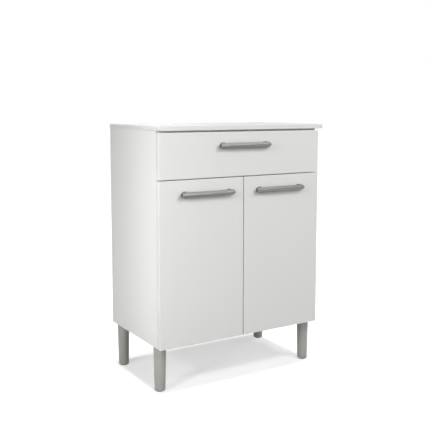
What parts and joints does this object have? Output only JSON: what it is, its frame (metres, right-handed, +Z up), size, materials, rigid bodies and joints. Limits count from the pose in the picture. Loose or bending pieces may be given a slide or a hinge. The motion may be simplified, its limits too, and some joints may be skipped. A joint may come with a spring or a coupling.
{
  "type": "microwave cart",
  "caption": "Free-standing white board cabinet that carries a microwave on its worktop, with a wide drawer above hinged doors, a shelf inside, bar handles and tapered round legs.",
  "frame": {"origin": "on the floor, under the middle of the object's bounding box (handles and worktop overhang included)", "axes": "+Z up; the drawer and the doors face -Y; +X to the right as seen from the front"},
  "size_m": [0.63, 0.383, 0.832],
  "materials": {
    "white_laminate": "satin white laminate on particle board",
    "hardboard": "white painted hardboard, brown at the back",
    "leg_plastic": "warm grey satin moulding",
    "glide_plastic": "black moulding",
    "handle_silver": "satin silver",
    "plated_steel": "zinc plated",
    "hinge_steel": "nickel plated",
    "runner_steel": "white powder coat",
    "white_nylon": "smooth white nylon",
    "zinc": "die-cast zinc",
    "beech": "fluted beech",
    "clear_rubber": "translucent pad"
  },
  "bodies": {
    "carcass": {"left_side_panel": "white_laminate", "right_side_panel": "white_laminate", "bottom_panel": "white_laminate", "middle_panel": "white_laminate", "front_top_rail": "white_laminate", "back_top_rail": "white_laminate", "back_panel": "hardboard", "shelf": "white_laminate", "worktop": "white_laminate", "leg_front_left": "leg_plastic", "leg_front_right": "leg_plastic", "leg_back_left": "leg_plastic", "leg_back_right": "leg_plastic", "leg_bolts": "plated_steel", "foot_glides": "glide_plastic", "cam_discs": "zinc", "cam_bolts": "plated_steel", "dowels": "beech", "worktop_screws": "plated_steel", "back_panel_nails": "plated_steel", "shelf_pins": "plated_steel", "runner_left": "runner_steel", "runner_right": "runner_steel", "side_panel_screws": "plated_steel", "hinge_arms": "hinge_steel", "hinge_plates": "hinge_steel", "hinge_arm_screws": "plated_steel", "bumper_pads": "clear_rubber"},
    "drawer": {"drawer_front": "white_laminate", "drawer_box_front": "white_laminate", "drawer_side_left": "white_laminate", "drawer_side_right": "white_laminate", "drawer_box_back": "white_laminate", "drawer_bottom": "hardboard", "drawer_rail_left": "runner_steel", "drawer_rail_right": "runner_steel", "drawer_rail_screws": "plated_steel", "drawer_corner_screws": "plated_steel", "drawer_front_screws": "plated_steel", "drawer_handle_bar": "handle_silver", "drawer_handle_posts": "handle_silver", "drawer_handle_screws": "plated_steel"},
    "left_door": {"left_door": "white_laminate", "left_door_handle_bar": "handle_silver", "left_door_handle_posts": "handle_silver", "left_door_handle_screws": "plated_steel", "left_hinge_cups": "hinge_steel", "left_hinge_pins": "plated_steel", "left_hinge_cup_screws": "plated_steel"},
    "right_door": {"right_door": "white_laminate", "right_door_handle_bar": "handle_silver", "right_door_handle_posts": "handle_silver", "right_door_handle_screws": "plated_steel", "right_hinge_cups": "hinge_steel", "right_hinge_pins": "plated_steel", "right_hinge_cup_screws": "plated_steel"},
    "runner_roller_left": {"runner_roller_left": "white_nylon"},
    "runner_roller_right": {"runner_roller_right": "white_nylon"},
    "drawer_roller_left": {"drawer_roller_left": "white_nylon"},
    "drawer_roller_right": {"drawer_roller_right": "white_nylon"}
  },
  "joints": [
    {"name": "drawer_slide", "type": "slide", "parent": "carcass", "child": "drawer", "axis": [0, -1, 0], "range_m": [0, 0.225]},
    {"name": "left_door_hinge", "type": "hinge", "parent": "carcass", "child": "left_door", "pos_m": [-0.30825, -0.1675, 0.405], "axis": [0, 0, -1], "range_deg": [0, 95]},
    {"name": "right_door_hinge", "type": "hinge", "parent": "carcass", "child": "right_door", "pos_m": [0.28825, -0.1675, 0.405], "axis": [0, 0, 1], "range_deg": [0, 95]},
    {"name": "runner_roller_left_turn", "type": "hinge", "parent": "carcass", "child": "runner_roller_left", "pos_m": [-0.2945, -0.142, 0.6958], "axis": [1, 0, 0], "range_deg": [0, 1520]},
    {"name": "drawer_roller_left_turn", "type": "hinge", "parent": "drawer", "child": "drawer_roller_left", "pos_m": [-0.2945, 0.1325, 0.6938], "axis": [1, 0, 0], "range_deg": [0, 1520]},
    {"name": "runner_roller_right_turn", "type": "hinge", "parent": "carcass", "child": "runner_roller_right", "pos_m": [0.2745, -0.142, 0.6958], "axis": [1, 0, 0], "range_deg": [0, 1520]},
    {"name": "drawer_roller_right_turn", "type": "hinge", "parent": "drawer", "child": "drawer_roller_right", "pos_m": [0.2745, 0.1325, 0.6938], "axis": [1, 0, 0], "range_deg": [0, 1520]}
  ],
  "couplings": [
    {"joint": "runner_roller_left_turn", "follows": "drawer_slide", "rad_per_m": 117.65},
    {"joint": "drawer_roller_left_turn", "follows": "drawer_slide", "rad_per_m": 117.65},
    {"joint": "runner_roller_right_turn", "follows": "drawer_slide", "rad_per_m": 117.65},
    {"joint": "drawer_roller_right_turn", "follows": "drawer_slide", "rad_per_m": 117.65}
  ]
}
